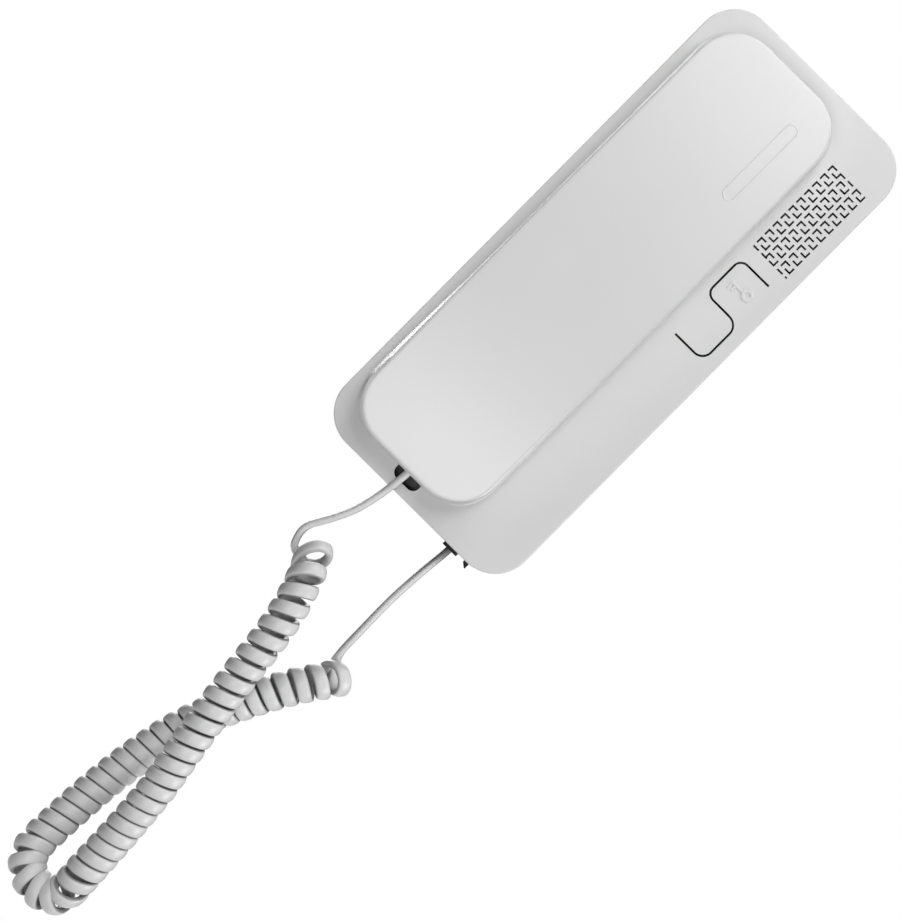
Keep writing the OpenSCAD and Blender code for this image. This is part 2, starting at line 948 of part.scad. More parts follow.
module handset_cord_grommet() {
    near = handset_cord_depth - 3.4;
    far = handset_cord_depth + 3.4;
    inner = handset_low + handset_wall;
    color(black)
        difference() {
            union() {
                block(handset_cord_x, 6.2, near, far, handset_low + 0.1, inner + 3);
                block(handset_cord_x, 8.4, near, far, inner + 1.3, inner + 3);
            }
            translate([handset_cord_x, -handset_cord_depth, 0])
                column(handset_low - past, inner + 3 + past)
                    rounded_rect(cord_t + 0.2, cord_w + 0.2, 1.3);
        }
}

// Two wires to the microphone and two that run past the peg sockets to the receiver
module handset_leads() {
    start_z = handset_low + 3;
    color("firebrick") {
        for (i = [-1, 1])
            swept_tube([
                [handset_cord_x - 0.6, -handset_cord_depth + i, start_z],
                [handset_cord_x - 0.6, -30.2 + i, -87.2], [handset_cord_x - 1, -31 + i, -85.5],
                [handset_cord_x - 2 + i / 2, -34 + i / 2, -82], [handset_x + i, -34.6, -77.4],
                [handset_x + i, -33.3, -73]
            ], 0.45, 0.45, 8);
        for (i = [-1, 1])
            swept_tube([
                [handset_cord_x + 0.6, -handset_cord_depth + i, start_z],
                [handset_cord_x + 0.6, -30.2 + i, -87.2], [handset_cord_x + 2, -31 + i, -84.5],
                [0, -33 + i, -78], [6, -34 + i, -66], [8, -34 + i, -50], [8, -34 + i, -20], [8, -34 + i, 10],
                [8, -34 + i, 36], [5, -35 + i, 45], [1 + i / 2, -35 + i / 2, 50], [-3 + i, -34.4, 54.5],
                [-6 + i, -33.8, 57.5]
            ], 0.45, 0.45, 8);
    }
}

// ---------- Cord between the handset and the base ----------

module cord_base_tail() {
    color(cord_white)
        swept_tube(base_tail_route, cord_t / 2, cord_w / 2, 8);
}

module cord_coil() {
    color(cord_white)
        swept_tube(coil_route, coil_d / 2, coil_d / 2, 8);
}

module cord_handset_tail() {
    color(cord_white)
        swept_tube(handset_tail_route, cord_t / 2, cord_w / 2, 8);
}

back_plate();
front_cover();
cord_well();
cover_screw();
main_board();
board_screws();
terminal_block();
terminal_screws();
board_capacitors();
board_chip();
hook_switch();
hook_plunger();
hook_spring();
door_release_key();
door_key_switch();
door_key_plunger();
service_key();
service_key_switch();
service_key_plunger();
volume_switch();
volume_slider();
speaker_frame();
speaker_cone();
speaker_magnet();
speaker_leads();
speaker_header();
base_cord_grommet();
cord_leads();
cord_header();
handset_front_shell();
handset_rear_shell();
handset_screws();
receiver_capsule();
receiver_gasket();
microphone_capsule();
microphone_boot();
handset_cord_grommet();
handset_leads();
cord_base_tail();
cord_coil();
cord_handset_tail();
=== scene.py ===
"""Looks of the slimline wall phone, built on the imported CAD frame.

Lengths below are in millimetres unless a name says otherwise; mm() turns them into metres.
A depth is a distance in front of the wall, as in the CAD source.
"""

import math

import bmesh
import bpy
import numpy as np
from mathutils import Matrix, Vector
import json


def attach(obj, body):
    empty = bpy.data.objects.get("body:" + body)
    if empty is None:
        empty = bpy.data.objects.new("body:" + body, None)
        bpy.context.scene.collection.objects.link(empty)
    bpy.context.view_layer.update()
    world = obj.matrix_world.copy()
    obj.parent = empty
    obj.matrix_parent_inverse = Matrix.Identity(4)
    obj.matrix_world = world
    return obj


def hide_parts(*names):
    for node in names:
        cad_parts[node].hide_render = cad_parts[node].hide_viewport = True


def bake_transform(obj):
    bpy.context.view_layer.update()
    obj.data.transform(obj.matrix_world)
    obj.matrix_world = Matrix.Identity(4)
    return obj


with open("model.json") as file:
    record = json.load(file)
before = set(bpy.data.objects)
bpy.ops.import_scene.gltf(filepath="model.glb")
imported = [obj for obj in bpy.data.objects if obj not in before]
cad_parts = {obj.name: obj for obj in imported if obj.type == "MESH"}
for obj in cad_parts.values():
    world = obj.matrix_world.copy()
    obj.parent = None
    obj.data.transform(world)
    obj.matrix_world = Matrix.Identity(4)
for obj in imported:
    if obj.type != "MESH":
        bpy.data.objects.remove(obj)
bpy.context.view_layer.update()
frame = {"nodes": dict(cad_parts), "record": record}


def mm(value):
    return np.asarray(value, float) * 0.001


def unit(rows):
    rows = np.asarray(rows, float)
    return rows / np.linalg.norm(rows, axis=-1, keepdims=True)


# ---------- Camera ----------


CAMERA_PLACE = (0.0008, -1.324, -0.0793)
CAMERA_LENS = 150.9
CAMERA_TURN = 44.73  # degrees about the line of sight: the photo shows the phone lying askew


def make_camera():
    data = bpy.data.cameras.new("camera")
    data.sensor_width = 36
    data.lens = CAMERA_LENS
    data.clip_start, data.clip_end = 0.05, 20
    camera = bpy.data.objects.new("camera", data)
    bpy.context.scene.collection.objects.link(camera)
    turn = math.radians(CAMERA_TURN)
    right = Vector((math.cos(turn), 0, math.sin(turn)))
    up = Vector((-math.sin(turn), 0, math.cos(turn)))
    back = Vector((0, -1, 0))
    camera.matrix_world = (
        Matrix.Translation(CAMERA_PLACE)
        @ Matrix((right, up, back)).transposed().to_4x4()
    )
    bpy.context.scene.camera = camera


make_camera()


# ---------- Mesh helpers ----------


def mesh_object(name, verts, faces, material, smooth=True):
    """A mesh object from vertices in millimetres."""
    data = bpy.data.meshes.new(name)
    data.from_pydata([tuple(v) for v in mm(verts)], [], faces)
    data.validate()
    data.materials.append(material)
    data.polygons.foreach_set("use_smooth", [smooth] * len(data.polygons))
    data.update()
    obj = bpy.data.objects.new(name, data)
    bpy.context.scene.collection.objects.link(obj)
    return obj


def smoothstep(value):
    value = np.clip(value, 0, 1)
    return value * value * (3 - 2 * value)


def face_outwards(obj):
    shape = bmesh.new()
    shape.from_mesh(obj.data)
    bmesh.ops.recalc_face_normals(shape, faces=shape.faces)
    shape.to_mesh(obj.data)
    shape.free()
    return obj


def bridge(first, second, count):
    """Quads between two closed rings of count vertices that start at those indices."""
    return [
        (first + k, first + (k + 1) % count, second + (k + 1) % count, second + k)
        for k in range(count)
    ]


# ---------- Materials ----------


def new_material(name):
    material = bpy.data.materials.new(name)
    material.use_nodes = True
    return material, material.node_tree, material.node_tree.nodes["Principled BSDF"]


def plastic(name, tone, roughness, grain, mottle=0.012, specular=0.5):
    """Moulded plastic: a faint uneven tone, uneven gloss and a fine grain."""
    material, tree, shader = new_material(name)
    nodes, links = tree.nodes, tree.links
    shader.inputs["Specular IOR Level"].default_value = specular
    place = nodes.new("ShaderNodeTexCoord")
    cloud = nodes.new("ShaderNodeTexNoise")
    cloud.inputs["Scale"].default_value = 28
    cloud.inputs["Detail"].default_value = 3
    links.new(place.outputs["Object"], cloud.inputs["Vector"])
    ramp = nodes.new("ShaderNodeValToRGB")
    low = [max(c - mottle, 0) for c in tone]
    ramp.color_ramp.elements[0].position = 0.35
    ramp.color_ramp.elements[0].color = (*low, 1)
    ramp.color_ramp.elements[1].position = 0.65
    ramp.color_ramp.elements[1].color = (*tone, 1)
    links.new(cloud.outputs["Fac"], ramp.inputs["Fac"])
    links.new(ramp.outputs["Color"], shader.inputs["Base Color"])
    gloss = nodes.new("ShaderNodeMapRange")
    gloss.inputs["To Min"].default_value = roughness - 0.03
    gloss.inputs["To Max"].default_value = roughness + 0.03
    links.new(cloud.outputs["Fac"], gloss.inputs["Value"])
    links.new(gloss.outputs["Result"], shader.inputs["Roughness"])
    speck = nodes.new("ShaderNodeTexNoise")
    speck.inputs["Scale"].default_value = 1600
    speck.inputs["Detail"].default_value = 2
    links.new(place.outputs["Object"], speck.inputs["Vector"])
    bump = nodes.new("ShaderNodeBump")
    bump.inputs["Strength"].default_value = grain
    bump.inputs["Distance"].default_value = 0.00005
    links.new(speck.outputs["Fac"], bump.inputs["Height"])
    links.new(bump.outputs["Normal"], shader.inputs["Normal"])
    return material


def darken(material, amount):
    """Mix the material's colour towards black by what the socket amount gives, 0 to 1."""
    nodes, links = material.node_tree.nodes, material.node_tree.links
    socket = nodes["Principled BSDF"].inputs["Base Color"]
    plain = socket.links[0].from_socket
    mix = nodes.new("ShaderNodeMix")
    mix.data_type = "RGBA"
    colour_a, colour_b = [i for i in mix.inputs if i.type == "RGBA"]
    colour_b.default_value = (0.004, 0.004, 0.004, 1)
    links.new(plain, colour_a)
    links.new(amount, mix.inputs[0])
    links.new([o for o in mix.outputs if o.type == "RGBA"][0], socket)


def metal(name, tone, roughness):
    material, tree, shader = new_material(name)
    nodes, links = tree.nodes, tree.links
    shader.inputs["Metallic"].default_value = 1
    place = nodes.new("ShaderNodeTexCoord")
    streak = nodes.new("ShaderNodeTexNoise")
    streak.inputs["Scale"].default_value = 400
    links.new(place.outputs["Object"], streak.inputs["Vector"])
    ramp = nodes.new("ShaderNodeValToRGB")
    ramp.color_ramp.elements[0].color = (*[c * 0.85 for c in tone], 1)
    ramp.color_ramp.elements[1].color = (*tone, 1)
    links.new(streak.outputs["Fac"], ramp.inputs["Fac"])
    links.new(ramp.outputs["Color"], shader.inputs["Base Color"])
    spread = nodes.new("ShaderNodeMapRange")
    spread.inputs["To Min"].default_value = roughness - 0.05
    spread.inputs["To Max"].default_value = roughness + 0.08
    links.new(streak.outputs["Fac"], spread.inputs["Value"])
    links.new(spread.outputs["Result"], shader.inputs["Roughness"])
    return material


# Sides of the box that holds the walls of the grille and of the key slot, just below the cover's face,
# where shade is painted into the colour
SLOT_BOX = (
    ("Y", "GREATER_THAN", -23.75),
    ("Y", "LESS_THAN", -18.5),
    ("X", "GREATER_THAN", 20),
    ("X", "LESS_THAN", 39.3),
    ("Z", "GREATER_THAN", 2.5),
    ("Z", "LESS_THAN", 84),
)


def slots_in_shade(material):
    """Paint shade into the material inside SLOT_BOX: the walls of the grille and key slots are coloured
    nearly black, as deep slots look in shade.
    """
    nodes, links = material.node_tree.nodes, material.node_tree.links
    place = nodes.new("ShaderNodeTexCoord")
    axes = nodes.new("ShaderNodeSeparateXYZ")
    links.new(place.outputs["Object"], axes.inputs["Vector"])
    amount = None
    for axis, test, limit in SLOT_BOX:
        inside = nodes.new("ShaderNodeMath")
        inside.operation = test
        inside.inputs[1].default_value = limit / 1000
        links.new(axes.outputs[axis], inside.inputs[0])
        if amount is None:
            amount = inside.outputs[0]
            continue
        both = nodes.new("ShaderNodeMath")
        both.operation = "MULTIPLY"
        links.new(amount, both.inputs[0])
        links.new(inside.outputs[0], both.inputs[1])
        amount = both.outputs[0]
    darken(material, amount)


def painted_shade(material):
    """Darken the material by the mesh's own shade values."""
    shade = material.node_tree.nodes.new("ShaderNodeAttribute")
    shade.attribute_name = "shade"
    darken(material, shade.outputs["Fac"])


COVER = plastic("cover_white", (0.74, 0.74, 0.74), 0.5, 0.12)
# The front cover's copy of the cover white, with painted shade in its deep slots
FRONT_COVER = plastic("front_cover_white", (0.74, 0.74, 0.74), 0.5, 0.12)
slots_in_shade(FRONT_COVER)
HANDSET = plastic("handset_white", (0.75, 0.75, 0.75), 0.3, 0.03, 0.006, 0.9)
KEY = plastic("key_white", (0.74, 0.74, 0.74), 0.5, 0.12)
CORD = plastic("cord_white", (0.76, 0.76, 0.76), 0.38, 0.05, 0.01)
SHADED_CORD = plastic("cord_white_shaded", (0.76, 0.76, 0.76), 0.38, 0.05, 0.01)
painted_shade(SHADED_CORD)
BLACK = plastic("black_plastic", (0.014, 0.014, 0.014), 0.42, 0.1, 0.004)
RUBBER = plastic("black_rubber", (0.007, 0.007, 0.007), 0.6, 0.2, 0.003, 0.2)
DEEP_BLACK = plastic("deep_black_plastic", (0.006, 0.006, 0.006), 0.5, 0.1, 0.003, 0.25)
STEEL = metal("steel", (0.62, 0.63, 0.65), 0.32)
BOARD = plastic("board_green", (0.02, 0.11, 0.045), 0.35, 0.04, 0.01)
TERMINAL = plastic("terminal_green", (0.05, 0.26, 0.09), 0.4, 0.05, 0.02)
IVORY = plastic("ivory_plastic", (0.72, 0.68, 0.56), 0.45, 0.05)
GREY = plastic("grey_parts", (0.11, 0.11, 0.12), 0.55, 0.15, 0.02)
WIRE = plastic("wire_red", (0.5, 0.03, 0.025), 0.4, 0.03, 0.03)

CAD_MATERIALS = {
    "cover_white": COVER,
    "handset_white": HANDSET,
    "key_white": KEY,
    "cord_white": CORD,
    "black_plastic": BLACK,
    "black_rubber": RUBBER,
    "steel": STEEL,
    "board_green": BOARD,
    "terminal_green": TERMINAL,
    "ivory_plastic": IVORY,
    "grey_parts": GREY,
    "wire_red": WIRE,
}


# Nodes whose look differs from their slot's
NODE_MATERIALS = {
    "front_cover": FRONT_COVER,
    "speaker_frame": BLACK,
    "volume_slider": DEEP_BLACK,
    "base_cord_grommet": DEEP_BLACK,
}


def paint_cad():
    for part in frame["record"]["subparts"]:
        data = frame["nodes"][part["node"]].data
        data.materials.clear()
        material = NODE_MATERIALS.get(part["node"]) or CAD_MATERIALS[part["material_slot"]]
        data.materials.append(material)


paint_cad()


# ---------- Cord ----------

CORD_W = 5.0
CORD_T = 2.6
CORD_STEP = 0.85  # between its rings
SIDES = 18
TAIL_STEP, TAIL_WINDOW = 0.8, 6  # spacing and smoothing of a tail's points
AXIS_STEP, AXIS_WINDOW = 0.05, 9  # the same for the middle of the coil
PER_TURN = 36
COIL_START = math.radians(80)
COIL_END = math.radians(150)
TWIST = 13  # length over which the flat cord turns from a tail's direction to the coil's

# Where the cord runs, from the base's grommet to the handset's lower end
BASE_TAIL = [
    (21.6, -16, -96), (21.55, -16, -101), (21.1, -16, -106), (20.5, -15.8, -112),
    (19.95, -15.4, -119), (19.6, -14.8, -126), (19.55, -14.4, -133), (19.7, -13.4, -140),
    (19.8, -11.8, -146.5), (20.0, -9.6, -151.5), (20.5, -7.8, -154.6),
]  # fmt: skip
COIL_AXIS = [
    (27.0, -10.2, -157.0), (24.7, -10.8, -159.9), (21.7, -10.8, -164.5), (18.0, -9.9, -169.9),
    (13.9, -9.1, -176.9), (9.5, -8.4, -185.2), (5.0, -8, -194.5), (1.3, -7.9, -203.6),
    (-1.8, -8, -214), (-4.4, -8.4, -227), (-6.1, -9.2, -239), (-7.2, -10.4, -252),
    (-7.9, -12, -265), (-7.8, -13.2, -272.4), (-5.3, -14.2, -277.6), (-1.4, -15, -280.1),
    (2.9, -15.6, -280.9), (7.0, -16.2, -280.2), (10.2, -16.8, -277.3), (10.9, -17.5, -272.4),
    (10.5, -18.3, -265), (10.0, -19.5, -252), (9.2, -20.6, -239), (8.1, -21.6, -226.5),
    (6.2, -22.3, -215), (4.2, -22.8, -203), (2.3, -23.2, -190), (0.7, -23.8, -177),
    (-0.55, -24.4, -165.3), (-2.9, -25.2, -152.7), (-4.7, -25.6, -146.6), (-6.7, -25.4, -140.9),
    (-9.2, -24.6, -135.4), (-11.0, -23.8, -132.3),
]  # fmt: skip
HANDSET_TAIL = [
    (-17.2, -26.0, -135.6), (-18.3, -27.2, -132.0), (-17.9, -27.8, -128.2), (-15.9, -28.4, -124.7),
    (-13.2, -29, -119.8), (-10.4, -29.6, -113.6), (-8.6, -29.9, -107), (-7.5, -30, -101),
    (-7, -30, -97), (-6.6, -30, -92.9), (-6.6, -30, -90.5),
]  # fmt: skip


def smooth_line(points, step, window):
    """A dense, evenly spaced line through the points, smoothed over a length of window."""
    p = np.asarray(points, float)
    ends = [2 * p[0] - p[1], *p, 2 * p[-1] - p[-2]]
    dense = []
    for a, b, c, d in zip(ends, ends[1:], ends[2:], ends[3:]):
        t = np.linspace(0, 1, 40, endpoint=False)[:, None]
        dense.append(
            0.5
            * (
                2 * b
                + (c - a) * t
                + (2 * a - 5 * b + 4 * c - d) * t**2
                + (3 * b - a - 3 * c + d) * t**3
            )
        )
    dense = np.vstack([*dense, p[-1:]])
    line = evenly(dense, step)
    half = max(int(window / step / 2), 1)
    kernel = np.hanning(2 * half + 3)[1:-1]
    kernel /= kernel.sum()
    before = 2 * line[0] - line[half:0:-1]
    after = 2 * line[-1] - line[-2 : -half - 2 : -1]
    padded = np.vstack([before, line, after])
    return np.stack([np.convolve(padded[:, i], kernel, "valid") for i in range(3)], 1)


def lengths_along(line):
    return np.concatenate([[0], np.cumsum(np.linalg.norm(np.diff(line, axis=0), axis=1))])


def evenly(line, step):
    s = lengths_along(line)
    t = np.linspace(0, s[-1], max(int(round(s[-1] / step)), 2) + 1)
    return np.stack([np.interp(t, s, line[:, i]) for i in range(3)], 1)


def tangents(line):
    return unit(np.gradient(line, axis=0))


# Along the coil from the base end to the handset end: share of its length, distance between turns,
# how far the turns lean sideways and towards the viewer, and the radius of their middle line.
COIL_SHAPE = np.array([
    (0.000, 6.1, -0.20, -0.56, 5.2),
    (0.013, 6.1, -0.20, -0.48, 5.2),
    (0.033, 5.9, -0.16, -0.32, 5.2),
    (0.054, 5.8, -0.14, -0.22, 5.2),
    (0.075, 5.7, -0.10, -0.12, 5.2),
    (0.100, 5.5, -0.05, -0.04, 5.2),
    (0.130, 5.35, 0.00, 0.00, 5.2),
    (0.200, 5.25, 0.06, 0.00, 5.2),
    (0.300, 5.15, 0.10, 0.00, 5.2),
    (0.380, 5.3, 0.13, 0.00, 5.25),
    (0.420, 5.6, 0.18, 0.00, 5.3),
    (0.450, 5.6, 0.20, 0.02, 5.3),
    (0.475, 5.4, 0.12, 0.00, 5.3),
    (0.490, 5.4, 0.04, -0.14, 5.4),
    (0.505, 5.8, 0.04, -0.44, 5.5),
    (0.517, 5.55, 0.04, -0.46, 5.5),
    (0.530, 5.1, 0.04, -0.22, 5.5),
    (0.545, 5.0, 0.06, -0.08, 5.5),
    (0.575, 5.0, 0.08, -0.03, 5.4),
    (0.620, 5.1, 0.08, 0.00, 5.25),
    (0.653, 5.25, 0.07, 0.00, 5.2),
    (0.690, 5.3, 0.06, 0.00, 5.2),
    (0.720, 5.45, 0.05, 0.00, 5.2),
    (0.750, 5.65, 0.05, 0.00, 5.2),
    (0.790, 5.8, 0.05, 0.00, 5.2),
    (0.830, 6.0, 0.04, 0.00, 5.2),
    (0.870, 6.15, 0.04, 0.02, 5.2),
    (0.902, 6.35, 0.04, 0.08, 5.2),
    (0.925, 6.5, 0.04, 0.16, 5.2),
    (0.946, 6.2, 0.06, 0.22, 5.2),
    (0.967, 6.0, 0.12, 0.46, 5.2),
    (0.985, 6.0, 0.22, 0.74, 5.2),
    (1.000, 6.0, 0.24, 0.78, 5.2),
])  # fmt: skip


def coil_line():
    """The coil's centreline, and the coil's own direction at each of its points."""
    axis = smooth_line(COIL_AXIS, AXIS_STEP, AXIS_WINDOW)
    along = tangents(axis)
    s = lengths_along(axis)
    share, pitch, lean_u, lean_v, radius = COIL_SHAPE.T
    turn = 2 * math.pi / np.interp(s / s[-1], share, pitch)
    phase = np.concatenate([[0], np.cumsum((turn[1:] + turn[:-1]) / 2 * np.diff(s))])
    part_turn = COIL_END - COIL_START
    whole = round((phase[-1] - part_turn) / (2 * math.pi)) * 2 * math.pi + part_turn
    phase *= whole / phase[-1]
    wanted = np.arange(0, whole, 2 * math.pi / PER_TURN)
    at = np.interp(wanted, phase, s)
    centre = np.stack([np.interp(at, s, axis[:, i]) for i in range(3)], 1)
    t = unit(np.stack([np.interp(at, s, along[:, i]) for i in range(3)], 1))
    u = unit(np.cross([0, 1, 0], t))
    v = np.cross(t, u)
    a = (wanted + COIL_START)[:, None]
    ku = np.interp(at / s[-1], share, lean_u)[:, None]
    kv = np.interp(at / s[-1], share, lean_v)[:, None]
    shift = ku * np.cos(a) - kv * np.sin(a)
    r = np.interp(at / s[-1], share, radius)[:, None]
    line = centre + r * (np.cos(a) * u + np.sin(a) * v + shift * t)
    return line, unit(t - ku * u + kv * v)


def joined(a, b, pull):
    """Points of a smooth bend from the end of line a to the start of line b."""
    p, q = a[-1], b[0]
    reach = np.linalg.norm(q - p) * pull
    m, n = unit(a[-1] - a[-2]) * reach, unit(b[1] - b[0]) * reach
    t = np.linspace(0, 1, 24)[1:-1, None]
    return (
        (2 * t**3 - 3 * t**2 + 1) * p
        + (t**3 - 2 * t**2 + t) * m
        + (3 * t**2 - 2 * t**3) * q
        + (t**3 - t**2) * n
    )


def cord_line():
    """Centreline of the whole cord from the base to the handset.

    It comes with the direction of the cord's width and with how coiled it is, 0 in the tails to 1.
    """
    tail_a = smooth_line(BASE_TAIL, TAIL_STEP, TAIL_WINDOW)
    coil, coil_width = coil_line()
    tail_b = smooth_line(HANDSET_TAIL, TAIL_STEP, TAIL_WINDOW)
    bend_a, bend_b = joined(tail_a, coil, 1.0), joined(coil, tail_b, 1.0)
    line = np.vstack([tail_a, bend_a, coil, bend_b, tail_b])
    starts = np.cumsum([0, len(tail_a), len(bend_a), len(coil), len(bend_b)])
    s = lengths_along(line)
    s_a, s_b = s[starts[2]], s[starts[3]]
    width = np.tile([0.0, 1.0, 0.0], (len(line), 1))
    before = np.tile(coil_width[0], (starts[2], 1))
    after = np.tile(coil_width[-1], (len(line) - starts[3], 1))
    towards = np.vstack([before, coil_width, after])
    mix = (smoothstep((s - s_a + TWIST - 1) / TWIST) * smoothstep((s_b + TWIST - 1 - s) / TWIST))[:, None]
    side_a = np.sign(np.sum(tangent_turn(line, starts[1], starts[2]) * coil_width[0])) or 1
    side_b = np.sign(np.sum(tangent_turn(line, starts[4], starts[3]) * coil_width[-1])) or 1
    middle = len(line) // 2
    width[:middle] *= side_a
    width[middle:] *= side_b
    width = width * (1 - mix) + towards * mix
    even = evenly(line, CORD_STEP)
    t_even = np.linspace(0, s[-1], len(even))
    width = np.stack([np.interp(t_even, s, width[:, i]) for i in range(3)], 1)
    return even, width, np.interp(t_even, s, mix[:, 0])


def tangent_turn(line, start, end):
    """Where the Y direction ends up when it is carried along the line without twist."""
    step = 1 if end > start else -1
    t = tangents(line)
    w = np.array([0.0, 1.0, 0.0])
    for i in range(start, end + step, step):
        w = unit(w - t[i] * (w @ t[i]))
    return w


def swept(line, width, w, h, sides, power=2.4):
    """Rings of a flat oval section along the line."""
    t = tangents(line)
    width = unit(width - t * np.sum(width * t, axis=1, keepdims=True))
    other = np.cross(t, width)
    a = np.arange(sides) * 2 * math.pi / sides
    x = np.sign(np.cos(a)) * np.abs(np.cos(a)) ** (2 / power) * w / 2
    y = np.sign(np.sin(a)) * np.abs(np.sin(a)) ** (2 / power) * h / 2
    rings = line[:, None] + x[None, :, None] * width[:, None] + y[None, :, None] * other[:, None]
    count = len(line)
    faces = [f for i in range(count - 1) for f in bridge(i * sides, (i + 1) * sides, sides)]
    faces.append(tuple(range(sides)))
    faces.append(tuple(range(count * sides - 1, (count - 1) * sides - 1, -1)))
    return rings.reshape(-1, 3), faces


def cord_shade(line, width, coiled):
    """Painted shade on the cord, how dark each point is: between turns, inside the coil, in the base's
    shadow just under it and on the side that faces left.
    """
    t = tangents(line)
    width = unit(width - t * np.sum(width * t, axis=1, keepdims=True))
    other = np.cross(t, width)
    bend = np.gradient(t, axis=0)
    inner = np.sign(np.sum(bend * other, axis=1))[:, None]
    a = (np.arange(SIDES) * 2 * math.pi / SIDES)[None, :]
    between = smoothstep((np.abs(np.cos(a)) - 0.78) / 0.2)
    inside = smoothstep((inner * np.sin(a) + 0.05) / 0.4)
    leftward = -(np.cos(a) / CORD_W * width[:, :1] + np.sin(a) / CORD_T * other[:, :1]) * CORD_T
    x, z = line[:, :1], line[:, 2:3]
    # Painted shadow of the base on the cord just below it, across the cord near the grommet and further
    # down along its left edge
    near = 0.8 * smoothstep((z + 111) / 9)
    edge = 0.97 * smoothstep((z + 124) / 22) * smoothstep(leftward * 1.6 + 0.1)
    under_base = (x > 15) * np.maximum(near, edge)
    s = lengths_along(line)
    first, last = s[coiled > 0.99][[0, -1]]
    deep = (smoothstep((s - first) / 100) * smoothstep((last - s) / 100))[:, None]
    # Painted shade in the creases between turns and on the coil's inner faces, lighter near the coil's
    # ends
    coil = coiled[:, None] * np.maximum((0.3 + 0.4 * deep) * between, 0.35 * deep * inside)
    shade = np.maximum(coil, under_base)
    # Painted shade: the side of the cord that faces left is darker, as if lit from the right
    return 1 - (1 - shade) * (1 - 0.5 * smoothstep(leftward))


def make_cord():
    line, width, coiled = cord_line()
    verts, faces = swept(line, width, CORD_W, CORD_T, SIDES)
    cord = face_outwards(mesh_object("handset_cord", verts, faces, SHADED_CORD))
    shade = cord.data.attributes.new("shade", "FLOAT", "POINT")
    shade.data.foreach_set("value", cord_shade(line, width, coiled).ravel().astype(np.float32))
    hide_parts("cord_base_tail", "cord_coil", "cord_handset_tail")
    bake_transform(cord)


make_cord()


# ---------- Tongue keys ----------

KEY_BACK, KEY_FACE = 22.0, 24.0
PICTURE_RISE = 0.42


def arc(x, z, r, start, end, steps=12):
    """Points of an arc between two angles in degrees."""
    a = np.radians(np.linspace(start, end, steps + 1))
    return list(zip(x + r * np.cos(a), z + r * np.sin(a)))


def revolved(x, z, profile, turns):
    """Vertices and faces of a shape turned about a line from front to back through x, z."""
    a = np.arange(turns) * 2 * math.pi / turns
    verts = [(x + r * math.cos(k), -d, z + r * math.sin(k)) for r, d in profile for k in a]
    faces = [f for i in range(len(profile) - 1) for f in bridge(i * turns, (i + 1) * turns, turns)]
    return verts, faces


def raised_bar(x0, x1, z0, z1, slope, rise):
    """A bar standing on the key's face, with sloping sides."""
    verts = []
    for inset, height in ((0, -0.2), (0, 0), (slope * 0.6, rise * 0.75), (slope, rise)):
        left, right, low, high = x0 + inset, x1 - inset, z0 + inset, z1 - inset
        for x, z in ((left, low), (right, low), (right, high), (left, high)):
            verts.append((x, -KEY_FACE - height, z))
    faces = [f for i in range(3) for f in bridge(i * 4, i * 4 + 4, 4)] + [(12, 13, 14, 15)]
    return verts, faces


def key_picture():
    """Plain picture of a door key: a ring, a shaft and two teeth."""
    rise, shoulder = PICTURE_RISE, PICTURE_RISE * 0.75
    outer = [(2.25, -0.2), (2.25, 0), (2.02, shoulder), (1.85, rise)]
    inner = [(1.25, rise), (1.05, shoulder), (0.8, 0), (0.8, -0.2)]
    yield revolved(32.6, 30.2, [(r, KEY_FACE + h) for r, h in outer + inner], 36)
    yield raised_bar(25.5, 30.7, 29.5, 30.65, 0.25, rise)
    for x in (25.5, 27.05):
        yield raised_bar(x, x + 0.9, 27.7, 29.8, 0.22, rise)


# Rounding of a key's edge: how far in, and at what depth
KEY_EDGE = (
    (0, KEY_BACK),
    (0, KEY_FACE - 0.2),
    (0.01, KEY_FACE - 0.08),
    (0.05, KEY_FACE - 0.02),
    (0.12, KEY_FACE),
)
KEY_POST = [(0.01, 18), (1.7, 18), (2, 18.3), (2, 21.6), (2.4, 22.05)]


def make_key(name, node, body, above, below, free_end, post, extras):
    """A tongue key with a post behind it that presses its switch.

    above and below are its edges from the root, and free_end the points between them.
    """
    outline = np.array([*above, *free_end, *below[::-1]])
    count, pairs = len(outline), len(above)
    root = above[0][0]
    edges = np.roll(outline, -1, 0) - outline
    normals = unit(np.stack([edges[:, 1], -edges[:, 0]], 1))
    normals = unit(normals + np.roll(normals, 1, 0))
    x, z = outline.T
    normals *= np.sign(np.sum(x * np.roll(z, -1) - z * np.roll(x, -1)))
    at_root = np.abs(x - root) < 1e-6
    normals[at_root] = [(0, math.copysign(1, height - post[1])) for height in z[at_root]]
    verts = []
    for inset, depth in KEY_EDGE:
        verts += [(px, -depth, pz) for px, pz in outline - normals * inset]
    layers = len(KEY_EDGE) - 1
    faces = [f for i in range(layers) for f in bridge(i * count, (i + 1) * count, count)]
    for first in (0, layers * count):
        for k in range(pairs - 1):
            faces.append((first + k, first + k + 1, first + count - 2 - k, first + count - 1 - k))
        faces.append(tuple(first + k for k in range(pairs - 1, count - pairs + 1)))
    for more, their_faces in (revolved(*post, KEY_POST, 24), *extras):
        faces += [tuple(i + len(verts) for i in f) for f in their_faces]
        verts += more
    key = face_outwards(mesh_object(name, verts, faces, KEY, smooth=False))
    # Painted shade: the key's side walls, down in its slot, take the near-black plastic so the slot reads
    # as dark
    key.data.materials.append(DEEP_BLACK)
    for side_wall in key.data.polygons[:count]:
        side_wall.material_index = 1
    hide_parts(node)
    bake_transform(key)


def make_door_key():
    def lower_edge(x):
        if x > 33.4:
            return 17 + math.sqrt(4.4**2 - (x - 33.4) ** 2)
        return 21.4 + 0.12 * (33.4 - x)

    xs = (35.6, 35.1, 34.6, 34.1, 33.6, 33.1, 32.6)
    above = [(x, 37.25) for x in xs]
    below = [(x, lower_edge(x)) for x in xs]
    free_end = arc(25.55, 34.45, 2.8, 90, 180) + arc(25.55, 24.35, 2.82, 180, 270)
    names = ("door_key_tongue", "door_release_key", "door_key")
    make_key(*names, above, below, free_end, (25.6, 29.4), key_picture())


